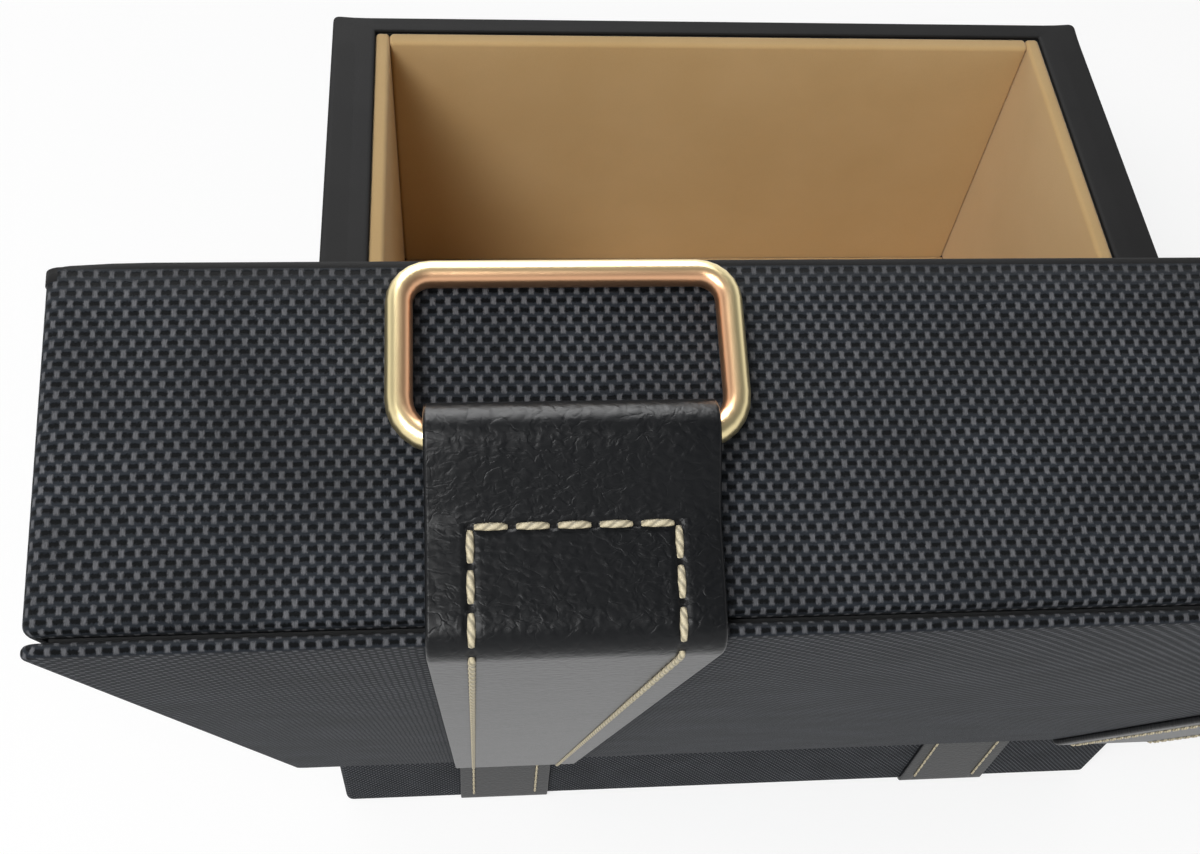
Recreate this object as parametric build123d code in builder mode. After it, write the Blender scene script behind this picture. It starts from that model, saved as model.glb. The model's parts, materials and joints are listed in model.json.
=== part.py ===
from build123d import *
import math
import os

# A woven-covered box with a deep lined compartment under a hinged lid and a shallow drawer
# below it. Two leather straps run over the lid and down the back, and each ends on the lid's
# front in a sewn fold that holds a flat rectangular ring.
# X runs along the front, Y to the back, Z up. The origin is the middle of the underside.
# The lid is drawn open, resting on its hinge stops, and the drawer is drawn shut.
# Thin rounds, which are the ring wire, the screws and the rivets, are drawn with narrow flats.
os.makedirs("parts", exist_ok=True)

# Body
BODY_WIDTH = 300.0
BODY_DEPTH = 255.0
BODY_HEIGHT = 172.0
SIDE_WALL = 16.0
END_WALL = 7.0
CORNER_RADIUS = 2.5
BASE_PAD = 2.0
BASE_PAD_INSET = 4.0
BASE_BOARD = 5.0
DRAWER_BAY = 29.5
TRIM = 1.0

# Compartment
DIVIDER = 4.0
DIVIDER_GROOVE = 3.0
FLOOR_PAD = 1.5
SIDE_LINING = 5.5
END_LINING = 6.0
LINING_DROP = 1.0
LINING_EDGE = 1.6

# Lid
LID_HEIGHT = 47.0
LID_WALL_EDGE = 1.2
LID_OPEN_ANGLE = 107.5
RIM_GAP = 0.4
LID_PANEL = 1.7
LID_PANEL_EDGE = 1.0
SHADOW_GAP = 0.9
SHADOW_GAP_DEPTH = 2.5
LID_DECK = 4.0
LID_LINING = 2.0

# Straps and rings
STRAP_WIDTH = 34.0
STRAP_THICKNESS = 1.8
STRAP_INSET = 61.5
STRAP_TUCK = 18.0
STRAP_HINGE_GAP = 4.0
STITCH_ROW = 33.4
STRAP_UNDER_END = 43.0
RING_WIDTH = 43.0
RING_HEIGHT = 24.4
RING_WIRE = 3.3
RING_CORNER = 2.7
RING_BAR_HEIGHT = 23.8
RING_PLAY = 0.07
RING_REST_GAP = 0.2
RING_FLAT_COUNT = 8

# Hinges
HINGE_INSET = 105.0
HINGE_LENGTH = 36.0
HINGE_KNUCKLES = 3
KNUCKLE_RADIUS = 2.3
KNUCKLE_GAP = 0.25
HINGE_NOTCH_GAP = 0.4
LEAF_DEPTH = 6.4
PIN_RADIUS = 0.9
PIN_PLAY = 0.05
HEEL_LENGTH = 1.7
HEEL_THICKNESS = 1.2
HEEL_ANGLE = -60.0
HEEL_GAP = 0.1
SCREW_SPACING = 20.0
SCREW_SHANK = 2.0
SCREW_HEAD = 3.2
SCREW_HEAD_ANGLE = 82.0
SCREW_LENGTH = 8.0
SCREW_INSET = 4.4
SCREW_PLAY = 0.05
FASTENER_FLAT_COUNT = 8

# Drawer
DRAWER_GAP = 0.8
DRAWER_FRONT = 9.0
DRAWER_FRONT_EDGE = 0.8
DRAWER_SIDE = 5.0
DRAWER_HEAD_ROOM = 3.2
DRAWER_BOTTOM = 3.0
DRAWER_BOTTOM_GROOVE = 2.5
DRAWER_BACK_SPACE = 10.0
DRAWER_RUN_GAP = 0.3
DRAWER_PAD = 1.5
TAB_WIDTH = 20.0
TAB_THICKNESS = 1.5
TAB_TOP_MARGIN = 2.5
TAB_SEWN = 8.0
PULL_WIDTH = 28.0
PULL_HEIGHT = 17.0
PULL_WIRE = 2.6
PULL_CORNER = 2.4
RIVET_SPACING = 11.0
RIVET_HEAD = 4.2
RIVET_HEAD_DEPTH = 0.8
RIVET_SHANK = 1.8

# Heights and depths that follow
front = -BODY_DEPTH / 2
back = BODY_DEPTH / 2
inner_half = BODY_WIDTH / 2 - SIDE_WALL
strap_centre = BODY_WIDTH / 2 - STRAP_INSET
hinge_centre = BODY_WIDTH / 2 - HINGE_INSET
wall_top = BODY_HEIGHT - TRIM
base_top = BASE_PAD + BASE_BOARD
divider_bottom = base_top + DRAWER_BAY
divider_top = divider_bottom + DIVIDER
divider_span = (divider_bottom, divider_top)
between_ends = (front + END_WALL, back - END_WALL)
floor_top = divider_top + FLOOR_PAD
lining_top = BODY_HEIGHT - LINING_DROP
lid_wall_bottom = RIM_GAP / 2 + TRIM
lid_wall_top = LID_HEIGHT - LID_PANEL - SHADOW_GAP
deck_bottom = lid_wall_top - LID_DECK
screw_head_height = (SCREW_HEAD - SCREW_SHANK) / 2 / math.tan(math.radians(SCREW_HEAD_ANGLE / 2))

# The lid's frame has its origin on the hinge line, x along the box, y to the lid's back and z
# out through the lid's top, and it leans back by the opening angle.
hinge_height = BODY_HEIGHT + RIM_GAP / 2
lean = math.radians(LID_OPEN_ANGLE)
case_frame = Plane.XY
hinge_frame = Plane(origin=(0, back, hinge_height), x_dir=(1, 0, 0), z_dir=(0, 0, 1))
lid_up = (0, math.sin(lean), math.cos(lean))
lid_frame = Plane(origin=(0, back, hinge_height), x_dir=(1, 0, 0), z_dir=lid_up)
lid_front = -BODY_DEPTH
lid_up_axis = Axis(lid_frame.origin, lid_frame.z_dir)
lid_back_axis = Axis(lid_frame.origin, lid_frame.y_dir)


def section_plane(frame, x):
    """The plane across the box at x: its own x runs to the back and its own y up."""
    return Plane(origin=frame.from_local_coords((x, 0, 0)), x_dir=frame.y_dir, z_dir=frame.x_dir)


def block(frame, x_span, y_span, z_span, mode=Mode.ADD, corners=0.0):
    """A straight board between two x, two y and two z values of a frame."""
    with BuildSketch(frame.offset(z_span[0])) as outline:
        with Locations((sum(x_span) / 2, sum(y_span) / 2)):
            Rectangle(x_span[1] - x_span[0], y_span[1] - y_span[0])
        if corners:
            fillet(outline.vertices(), corners)
    extrude(outline.sketch, amount=z_span[1] - z_span[0], mode=mode)


def save(piece, label):
    """Name a finished piece and write it."""
    piece.part.label = label
    export_step(piece.part, f"parts/{label}.step")


def hinge_notch(frame):
    """Take away the room that the hinge knuckles turn in."""
    for x in (-hinge_centre, hinge_centre):
        start = x - HINGE_LENGTH / 2 - HINGE_NOTCH_GAP
        with BuildSketch(section_plane(frame, start)) as room:
            Circle(KNUCKLE_RADIUS + HINGE_NOTCH_GAP)
        extrude(room.sketch, amount=HINGE_LENGTH + 2 * HINGE_NOTCH_GAP, mode=Mode.SUBTRACT)


def screw_planes(frame, side):
    """One plane for each hinge screw, its z pointing out of the rim that the leaf lies on."""
    planes = []
    for x in (-hinge_centre, hinge_centre):
        for step in (-SCREW_SPACING / 2, SCREW_SPACING / 2):
            place = frame.from_local_coords((x + step, -SCREW_INSET, side * RIM_GAP / 2))
            planes.append(Plane(origin=place, x_dir=frame.x_dir, z_dir=frame.z_dir * -side))
    return planes


def screw_shank(plane, play, mode=Mode.ADD):
    """A screw's shank below the plane, larger all round by the play."""
    with BuildSketch(plane) as shank:
        RegularPolygon(SCREW_SHANK / 2 + play, FASTENER_FLAT_COUNT)
    extrude(shank.sketch, amount=-SCREW_LENGTH - play, mode=mode)


def screw_head(plane, play, mode=Mode.ADD):
    """A screw's countersunk head, flush with the plane and larger all round by the play."""
    with BuildSketch(plane) as head:
        RegularPolygon(SCREW_HEAD / 2 + play, FASTENER_FLAT_COUNT)
    extrude(head.sketch, amount=-screw_head_height, taper=SCREW_HEAD_ANGLE / 2, mode=mode)


def screw_holes(frame, side):
    """Take away the holes that the hinge screws are driven into."""
    for plane in screw_planes(frame, side):
        screw_shank(plane, SCREW_PLAY, Mode.SUBTRACT)


# Walls and boards of the body
for name, side in (("left_wall", -1), ("right_wall", 1)):
    outer = side * BODY_WIDTH / 2
    inner = side * inner_half
    with BuildPart() as wall:
        block(case_frame, sorted((outer, inner)), (front, back), (BASE_PAD, wall_top))
        fillet(wall.edges().filter_by(Axis.Z).group_by(Axis.X)[0 if side < 0 else -1], CORNER_RADIUS)
        groove = sorted((inner, inner + side * DIVIDER_GROOVE))
        block(case_frame, groove, between_ends, divider_span, Mode.SUBTRACT)
    save(wall, name)

with BuildPart() as front_wall:
    block(case_frame, (-inner_half, inner_half), (front, front + END_WALL), (divider_bottom, wall_top))
save(front_wall, "front_wall")

with BuildPart() as back_wall:
    block(case_frame, (-inner_half, inner_half), (back - END_WALL, back), (BASE_PAD, wall_top))
    hinge_notch(hinge_frame)
    screw_holes(hinge_frame, -1)
save(back_wall, "back_wall")

with BuildPart() as base_panel:
    depth = (front + DRAWER_FRONT + DRAWER_GAP, back - END_WALL)
    block(case_frame, (-inner_half, inner_half), depth, (BASE_PAD, base_top))
save(base_panel, "base_panel")

with BuildPart() as divider_panel:
    reach = inner_half + DIVIDER_GROOVE
    block(case_frame, (-reach, reach), between_ends, divider_span)
save(divider_panel, "divider_panel")

with BuildPart() as base_pad:
    half_width = BODY_WIDTH / 2 - BASE_PAD_INSET
    half_depth = BODY_DEPTH / 2 - BASE_PAD_INSET
    area = ((-half_width, half_width), (-half_depth, half_depth))
    block(case_frame, *area, (0, BASE_PAD), corners=CORNER_RADIUS)
    for x in (-strap_centre, strap_centre):
        room = (x - STRAP_WIDTH / 2 - DRAWER_GAP, x + STRAP_WIDTH / 2 + DRAWER_GAP)
        block(case_frame, room, (back - STRAP_TUCK - DRAWER_GAP, back), (0, BASE_PAD), Mode.SUBTRACT)
save(base_pad, "base_pad")


# Leatherette strip round each rim, cut away where the hinge leaves lie
def rim_strip(frame, y_front, bottom, top):
    outside = (y_front, y_front + BODY_DEPTH)
    block(frame, (-BODY_WIDTH / 2, BODY_WIDTH / 2), outside, (bottom, top), corners=CORNER_RADIUS)
    inside = (y_front + END_WALL, y_front + BODY_DEPTH - END_WALL)
    block(frame, (-inner_half, inner_half), inside, (bottom, top), Mode.SUBTRACT)
    for x in (-hinge_centre, hinge_centre):
        leaf_room = (x - HINGE_LENGTH / 2 - HINGE_NOTCH_GAP, x + HINGE_LENGTH / 2 + HINGE_NOTCH_GAP)
        depth = (y_front + BODY_DEPTH - LEAF_DEPTH - HINGE_NOTCH_GAP, y_front + BODY_DEPTH)
        block(frame, leaf_room, depth, (bottom, top), Mode.SUBTRACT)


with BuildPart() as rim_trim:
    rim_strip(case_frame, front, wall_top, BODY_HEIGHT)
save(rim_trim, "rim_trim")

with BuildPart() as lid_rim_trim:
    rim_strip(lid_frame, lid_front, RIM_GAP / 2, lid_wall_bottom)
save(lid_rim_trim, "lid_rim_trim")

# Padded lining of the compartment: the side boards run through, the end boards stand between
for name, side in (("left_lining", -1), ("right_lining", 1)):
    span = sorted((side * inner_half, side * (inner_half - SIDE_LINING)))
    with BuildPart() as lining:
        block(case_frame, span, between_ends, (divider_top, lining_top))
        fillet(lining.faces().sort_by(Axis.Z)[-1].edges().filter_by(Axis.Y), LINING_EDGE)
    save(lining, name)

lined_half = inner_half - SIDE_LINING
for name, side in (("front_lining", -1), ("back_lining", 1)):
    wall_face = side * (BODY_DEPTH / 2 - END_WALL)
    span = sorted((wall_face, wall_face - side * END_LINING))
    with BuildPart() as lining:
        block(case_frame, (-lined_half, lined_half), span, (divider_top, lining_top))
        fillet(lining.faces().sort_by(Axis.Z)[-1].edges().filter_by(Axis.X), LINING_EDGE)
    save(lining, name)

with BuildPart() as floor_pad:
    lined_y = BODY_DEPTH / 2 - END_WALL - END_LINING
    block(case_frame, (-lined_half, lined_half), (-lined_y, lined_y), (divider_top, floor_top))
save(floor_pad, "floor_pad")

# Lid: four walls, a stepped deck that leaves the shadow gap, and the covered top panel
for name, side in (("lid_left_wall", -1), ("lid_right_wall", 1)):
    span = sorted((side * BODY_WIDTH / 2, side * inner_half))
    with BuildPart() as wall:
        with BuildSketch(lid_frame.offset(lid_wall_bottom)) as outline:
            with Locations((sum(span) / 2, lid_front / 2)):
                Rectangle(SIDE_WALL, BODY_DEPTH)
            fillet(outline.vertices().group_by(Axis.X)[0 if side < 0 else -1], CORNER_RADIUS)
        extrude(amount=lid_wall_top - lid_wall_bottom)
        top_edges = wall.faces().sort_by(lid_up_axis)[-1].edges().sort_by(Axis.X)
        chamfer(top_edges[:-1] if side < 0 else top_edges[1:], LID_WALL_EDGE)
    save(wall, name)

with BuildPart() as lid_front_wall:
    depth = (lid_front, lid_front + END_WALL)
    block(lid_frame, (-inner_half, inner_half), depth, (lid_wall_bottom, lid_wall_top))
    chamfer(lid_front_wall.faces().sort_by(lid_up_axis)[-1].edges().sort_by(lid_back_axis)[0], LID_WALL_EDGE)
save(lid_front_wall, "lid_front_wall")

with BuildPart() as lid_back_wall:
    block(lid_frame, (-inner_half, inner_half), (-END_WALL, 0), (lid_wall_bottom, lid_wall_top))
    chamfer(lid_back_wall.faces().sort_by(lid_up_axis)[-1].edges().sort_by(lid_back_axis)[-1], LID_WALL_EDGE)
    hinge_notch(lid_frame)
    screw_holes(lid_frame, 1)
save(lid_back_wall, "lid_back_wall")

lid_between_ends = (lid_front + END_WALL, -END_WALL)
with BuildPart() as lid_deck:
    block(lid_frame, (-inner_half, inner_half), lid_between_ends, (deck_bottom, lid_wall_top))
    step_half = BODY_WIDTH / 2 - SHADOW_GAP_DEPTH
    step_y = (lid_front + SHADOW_GAP_DEPTH, -SHADOW_GAP_DEPTH)
    block(lid_frame, (-step_half, step_half), step_y, (lid_wall_top, lid_wall_top + SHADOW_GAP))
save(lid_deck, "lid_deck")

with BuildPart() as lid_panel:
    panel_z = (LID_HEIGHT - LID_PANEL, LID_HEIGHT)
    block(lid_frame, (-BODY_WIDTH / 2, BODY_WIDTH / 2), (lid_front, 0), panel_z, corners=CORNER_RADIUS)
    chamfer(lid_panel.faces().sort_by(lid_up_axis)[-1].edges(), LID_PANEL_EDGE)
save(lid_panel, "lid_panel")

lid_lining_top = deck_bottom - FLOOR_PAD
for name, side in (("lid_left_lining", -1), ("lid_right_lining", 1)):
    span = sorted((side * inner_half, side * (inner_half - LID_LINING)))
    with BuildPart() as lining:
        block(lid_frame, span, lid_between_ends, (lid_wall_bottom, lid_lining_top))
    save(lining, name)

lid_lined_half = inner_half - LID_LINING
for name, wall_face, side in (
    ("lid_front_lining", lid_between_ends[0], 1),
    ("lid_back_lining", lid_between_ends[1], -1),
):
    span = sorted((wall_face, wall_face + side * LID_LINING))
    with BuildPart() as lining:
        block(lid_frame, (-lid_lined_half, lid_lined_half), span, (lid_wall_bottom, lid_lining_top))
    save(lining, name)

with BuildPart() as lid_pad:
    block(lid_frame, (-inner_half, inner_half), lid_between_ends, (lid_lining_top, deck_bottom))
save(lid_pad, "lid_pad")


# Stop hinges: knuckles on a pin, and a heel behind each leaf that meets its partner's heel
def hinge_leaf(frame, x, side, contact_angle, own, label):
    start = x - HINGE_LENGTH / 2
    knuckle = HINGE_LENGTH / HINGE_KNUCKLES
    heel_start = KNUCKLE_RADIUS + 2 * KNUCKLE_GAP
    heel_reach = heel_start + HEEL_LENGTH
    heel_offset = side * (HEEL_THICKNESS + HEEL_GAP) / 2
    turned = Location((0, 0, 0), (0, 0, contact_angle))
    with BuildPart() as leaf:
        with BuildSketch(section_plane(frame, start)) as plate:
            with Locations((-LEAF_DEPTH / 2, side * (RIM_GAP + TRIM) / 2)):
                Rectangle(LEAF_DEPTH, TRIM)
            with Locations(turned):
                with Locations((heel_start + HEEL_LENGTH / 2, heel_offset)):
                    Rectangle(HEEL_LENGTH, HEEL_THICKNESS)
        extrude(plate.sketch, amount=HINGE_LENGTH)
        for index in range(HINGE_KNUCKLES):
            if index in own:
                continue
            with BuildSketch(section_plane(frame, start + index * knuckle)) as room:
                Circle(KNUCKLE_RADIUS + KNUCKLE_GAP)
            extrude(room.sketch, amount=knuckle, mode=Mode.SUBTRACT)
        for index in own:
            with BuildSketch(section_plane(frame, start + index * knuckle + KNUCKLE_GAP / 2)) as body:
                Circle(KNUCKLE_RADIUS)
                with Locations(turned):
                    with Locations((heel_reach / 2, heel_offset)):
                        Rectangle(heel_reach, HEEL_THICKNESS)
            extrude(body.sketch, amount=knuckle - KNUCKLE_GAP)
        with BuildSketch(section_plane(frame, start)) as bore:
            Circle(PIN_RADIUS + PIN_PLAY)
        extrude(bore.sketch, amount=HINGE_LENGTH, mode=Mode.SUBTRACT)
        for plane in screw_planes(frame, side):
            if abs(plane.origin.X - x) < HINGE_LENGTH / 2:
                screw_shank(plane, SCREW_PLAY, Mode.SUBTRACT)
                screw_head(plane, SCREW_PLAY, Mode.SUBTRACT)
    save(leaf, label)


lid_heel_angle = HEEL_ANGLE + LID_OPEN_ANGLE
for word, x in (("left", -hinge_centre), ("right", hinge_centre)):
    hinge_leaf(hinge_frame, x, -1, HEEL_ANGLE, (0, 2), f"case_hinge_leaf_{word}")
    hinge_leaf(lid_frame, x, 1, lid_heel_angle, (1,), f"lid_hinge_leaf_{word}")
    with BuildPart() as pin:
        with BuildSketch(section_plane(hinge_frame, x - HINGE_LENGTH / 2)):
            Circle(PIN_RADIUS)
        extrude(amount=HINGE_LENGTH)
    save(pin, f"hinge_pin_{word}")

for label, frame, side in (("case_hinge_screws", hinge_frame, -1), ("lid_hinge_screws", lid_frame, 1)):
    with BuildPart() as screws:
        for plane in screw_planes(frame, side):
            screw_shank(plane, 0)
            screw_head(plane, 0)
    save(screws, label)


# Straps and rings
def eye_radius(wire):
    return wire / 2 + RING_PLAY


def loop_section(face, bar_height, join, wire, thickness):
    """The fold round a ring's bar: a teardrop of leather lying against an outer face.

    face is the y of the wall's outer face, bar_height and join the heights of the bar and of
    the place where the two layers meet.
    """
    radius = eye_radius(wire)
    bar = (face - thickness - radius, bar_height)
    with BuildSketch() as outside:
        with Locations(bar):
            Circle(radius + thickness)
        with Locations((face - thickness, join)):
            Rectangle(2 * thickness, thickness)
        make_hull(mode=Mode.REPLACE)
    with BuildSketch() as inside:
        with Locations(bar):
            Circle(radius)
        with Locations((face - thickness, join - thickness)):
            Rectangle(RING_PLAY, RING_PLAY)
        make_hull(mode=Mode.REPLACE)
    return outside.sketch - inside.sketch


def arch(y_front, y_back, top, front_radius, back_radius):
    """A section open below the lid, rounded where it turns over the two top edges."""
    with BuildSketch() as shape:
        with BuildLine():
            corners = [(y_front, 0), (y_front, top), (y_back, top), (y_back, 0)]
            run = FilletPolyline(*corners, radius=[front_radius, back_radius])
            Line(run @ 1, run @ 0)
        make_face()
    return shape.sketch


def bar_place(frame, x, face, bar_height, wire, thickness):
    """The middle of a ring's bar inside its fold."""
    return frame.from_local_coords((x, face - thickness - eye_radius(wire), bar_height))


def ring(frame, centre, width, height, wire, corner, tilt, label):
    """A rounded rectangle of wire, hanging from its bar and leaning to the wall by tilt."""
    lean_back = math.radians(tilt)
    down = frame.z_dir * -math.cos(lean_back) + frame.y_dir * math.sin(lean_back)
    plane = Plane(origin=centre, x_dir=frame.x_dir, z_dir=frame.x_dir.cross(down))
    half = (width - wire) / 2
    drop = height - wire
    with BuildPart() as hoop:
        with BuildLine(plane) as path:
            FilletPolyline((half, 0), (half, drop), (-half, drop), (-half, 0), radius=corner, close=True)
        for run in path.edges():
            start = run @ 0
            with BuildSketch(Plane(origin=start, x_dir=plane.z_dir, z_dir=run % 0)) as section:
                RegularPolygon(wire / 2, RING_FLAT_COUNT)
            if run.geom_type == GeomType.LINE:
                extrude(section.sketch, amount=run.length)
            else:
                turning = (start - run.arc_center).cross(run % 0)
                revolve(section.sketch, Axis(run.arc_center, turning), 90)
    save(hoop, label)


turn_radius = STRAP_THICKNESS + LID_PANEL_EDGE
ring_stand_off = STRAP_THICKNESS + eye_radius(RING_WIRE)
ring_reach = RING_HEIGHT - RING_WIRE
ring_tilt = math.degrees(math.asin((ring_stand_off - RING_WIRE / 2 - RING_REST_GAP) / ring_reach))
for word, x in (("left", -strap_centre), ("right", strap_centre)):
    strap_start = x - STRAP_WIDTH / 2
    with BuildPart() as lid_strap:
        with BuildSketch(section_plane(lid_frame, strap_start)) as section:
            outer_front = lid_front - 2 * STRAP_THICKNESS
            strap_back = STRAP_THICKNESS
            strap_top = LID_HEIGHT + STRAP_THICKNESS
            add(arch(outer_front, strap_back, strap_top, turn_radius + STRAP_THICKNESS, turn_radius))
            inner_front = outer_front + STRAP_THICKNESS
            add(arch(inner_front, 0, LID_HEIGHT, turn_radius, LID_PANEL_EDGE), mode=Mode.SUBTRACT)
            with Locations((0, STRAP_HINGE_GAP / 2)):
                Rectangle(LID_HEIGHT, STRAP_HINGE_GAP, mode=Mode.SUBTRACT)
            with Locations((outer_front, STITCH_ROW / 2)):
                Rectangle(LID_HEIGHT, STITCH_ROW, mode=Mode.SUBTRACT)
            with Locations((lid_front - STRAP_THICKNESS / 2, (STITCH_ROW + STRAP_UNDER_END) / 2)):
                Rectangle(STRAP_THICKNESS, STRAP_UNDER_END - STITCH_ROW)
            add(loop_section(lid_front, RING_BAR_HEIGHT, STITCH_ROW, RING_WIRE, STRAP_THICKNESS))
        extrude(amount=STRAP_WIDTH)
    save(lid_strap, f"lid_strap_{word}")

    with BuildPart() as back_strap:
        with BuildSketch(section_plane(case_frame, strap_start)) as section:
            strap_top = BODY_HEIGHT - STRAP_HINGE_GAP
            strap_bottom = BASE_PAD - STRAP_THICKNESS
            with Locations((back + STRAP_THICKNESS / 2, (strap_top + strap_bottom) / 2)):
                Rectangle(STRAP_THICKNESS, strap_top - strap_bottom)
            with Locations((back + (STRAP_THICKNESS - STRAP_TUCK) / 2, BASE_PAD - STRAP_THICKNESS / 2)):
                Rectangle(STRAP_TUCK + STRAP_THICKNESS, STRAP_THICKNESS)
            fillet(section.vertices().group_by(Axis.X)[-1].sort_by(Axis.Y)[0], STRAP_THICKNESS)
        extrude(amount=STRAP_WIDTH)
    save(back_strap, f"back_strap_{word}")

    bar = bar_place(lid_frame, x, lid_front, RING_BAR_HEIGHT, RING_WIRE, STRAP_THICKNESS)
    print("lid ring bar", word, bar)
    ring(lid_frame, bar, RING_WIDTH, RING_HEIGHT, RING_WIRE, RING_CORNER, ring_tilt, f"ring_{word}")

# Drawer
drawer_half = inner_half - DRAWER_GAP
drawer_bottom = base_top + DRAWER_RUN_GAP
drawer_front_top = divider_bottom - DRAWER_GAP
drawer_front_bottom = BASE_PAD + DRAWER_GAP
drawer_box_front = front + DRAWER_FRONT
drawer_box_back = back - END_WALL - DRAWER_BACK_SPACE
drawer_run = (drawer_box_front, drawer_box_back)
drawer_inner_half = drawer_half - DRAWER_SIDE
side_top = divider_bottom - DRAWER_HEAD_ROOM
panel_bottom = drawer_bottom + DRAWER_RUN_GAP
panel_top = panel_bottom + DRAWER_BOTTOM
panel_span = (panel_bottom, panel_top)
tab_top = drawer_front_top - TAB_TOP_MARGIN
tab_join = tab_top - TAB_SEWN
pull_bar = tab_join - PULL_WIRE - 2 * TAB_THICKNESS
rivet_height = tab_top - TAB_SEWN / 2
rivet_length = 2 * TAB_THICKNESS + DRAWER_FRONT
rivet_seat = (0, front - 2 * TAB_THICKNESS, rivet_height)

with BuildPart() as drawer_front:
    height = (drawer_front_bottom, drawer_front_top)
    block(case_frame, (-drawer_half, drawer_half), (front, drawer_box_front), height)
    fillet(drawer_front.faces().sort_by(Axis.Y)[0].edges(), DRAWER_FRONT_EDGE)
    groove = (drawer_box_front - DRAWER_BOTTOM_GROOVE, drawer_box_front)
    block(case_frame, (-drawer_inner_half, drawer_inner_half), groove, panel_span, Mode.SUBTRACT)
    with BuildSketch(Plane(origin=(0, front, rivet_height), x_dir=(1, 0, 0), z_dir=(0, 1, 0))):
        with GridLocations(RIVET_SPACING, 1, 2, 1):
            RegularPolygon(RIVET_SHANK / 2, FASTENER_FLAT_COUNT)
    extrude(amount=DRAWER_FRONT, mode=Mode.SUBTRACT)
save(drawer_front, "drawer_front")

for name, side in (("drawer_left_side", -1), ("drawer_right_side", 1)):
    outer = side * drawer_half
    inner = side * drawer_inner_half
    with BuildPart() as board:
        block(case_frame, sorted((outer, inner)), drawer_run, (drawer_bottom, side_top))
        groove = sorted((inner, inner + side * DRAWER_BOTTOM_GROOVE))
        block(case_frame, groove, drawer_run, panel_span, Mode.SUBTRACT)
    save(board, name)

with BuildPart() as drawer_back:
    depth = (drawer_box_back - DRAWER_SIDE, drawer_box_back)
    block(case_frame, (-drawer_inner_half, drawer_inner_half), depth, (panel_top, side_top))
save(drawer_back, "drawer_back")

with BuildPart() as drawer_panel:
    reach = drawer_inner_half + DRAWER_BOTTOM_GROOVE
    block(case_frame, (-reach, reach), drawer_run, panel_span)
    tongue = (drawer_box_front - DRAWER_BOTTOM_GROOVE, drawer_box_front)
    block(case_frame, (-drawer_inner_half, drawer_inner_half), tongue, panel_span)
save(drawer_panel, "drawer_panel")

with BuildPart() as drawer_pad:
    depth = (drawer_box_front, drawer_box_back - DRAWER_SIDE)
    block(case_frame, (-drawer_inner_half, drawer_inner_half), depth, (panel_top, panel_top + DRAWER_PAD))
save(drawer_pad, "drawer_pad")

with BuildPart() as drawer_tab:
    with BuildSketch(section_plane(case_frame, -TAB_WIDTH / 2)) as section:
        with Locations((front - TAB_THICKNESS, tab_top - TAB_SEWN / 2)):
            Rectangle(2 * TAB_THICKNESS, TAB_SEWN)
        add(loop_section(front, pull_bar, tab_join, PULL_WIRE, TAB_THICKNESS))
    extrude(amount=TAB_WIDTH)
    with BuildSketch(Plane(origin=(0, front, rivet_height), x_dir=(1, 0, 0), z_dir=(0, -1, 0))):
        with GridLocations(RIVET_SPACING, 1, 2, 1):
            RegularPolygon(RIVET_SHANK / 2, FASTENER_FLAT_COUNT)
    extrude(amount=2 * TAB_THICKNESS, mode=Mode.SUBTRACT)
save(drawer_tab, "drawer_tab")

with BuildPart() as drawer_rivets:
    for reach, radius in ((-RIVET_HEAD_DEPTH, RIVET_HEAD / 2), (rivet_length, RIVET_SHANK / 2)):
        with BuildSketch(Plane(origin=rivet_seat, x_dir=(1, 0, 0), z_dir=(0, 1, 0))) as rounds:
            with GridLocations(RIVET_SPACING, 1, 2, 1):
                RegularPolygon(radius, FASTENER_FLAT_COUNT)
        extrude(rounds.sketch, amount=reach)
save(drawer_rivets, "drawer_rivets")

pull_centre = bar_place(case_frame, 0, front, pull_bar, PULL_WIRE, TAB_THICKNESS)
print("drawer ring bar", pull_centre)
ring(case_frame, pull_centre, PULL_WIDTH, PULL_HEIGHT, PULL_WIRE, PULL_CORNER, 0.0, "drawer_ring")
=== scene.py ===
"""Dresses the lidded box: woven covers, leather straps with their rings and stitching, the padded
tan lining, the drawer, and a plain pale stage seen from behind and above, as in the photograph."""

import json
import math

import bmesh
import bpy
import numpy as np
from mathutils import Matrix


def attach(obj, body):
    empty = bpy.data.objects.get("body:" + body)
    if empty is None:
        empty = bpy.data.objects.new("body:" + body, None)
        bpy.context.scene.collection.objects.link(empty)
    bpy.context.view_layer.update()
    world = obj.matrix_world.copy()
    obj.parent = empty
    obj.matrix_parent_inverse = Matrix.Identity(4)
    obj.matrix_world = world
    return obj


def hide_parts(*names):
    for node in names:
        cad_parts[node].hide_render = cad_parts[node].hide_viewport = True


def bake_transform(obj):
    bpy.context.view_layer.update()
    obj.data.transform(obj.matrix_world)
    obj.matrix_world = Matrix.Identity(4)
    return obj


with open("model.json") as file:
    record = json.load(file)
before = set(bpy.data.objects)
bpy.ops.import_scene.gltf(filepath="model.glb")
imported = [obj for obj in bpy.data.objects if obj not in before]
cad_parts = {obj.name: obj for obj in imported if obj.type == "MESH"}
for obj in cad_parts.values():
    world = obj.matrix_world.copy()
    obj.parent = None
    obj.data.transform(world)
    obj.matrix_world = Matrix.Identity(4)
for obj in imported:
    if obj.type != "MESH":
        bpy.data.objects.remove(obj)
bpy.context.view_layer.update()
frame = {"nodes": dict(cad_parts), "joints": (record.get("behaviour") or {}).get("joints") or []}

MM = 0.001
WELD = 0.002 * MM
ARC_POINTS = 7
FINE_STEP = 2 * MM
COVER_STEP = 5 * MM
WIDE_STEP = 8 * MM

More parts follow.
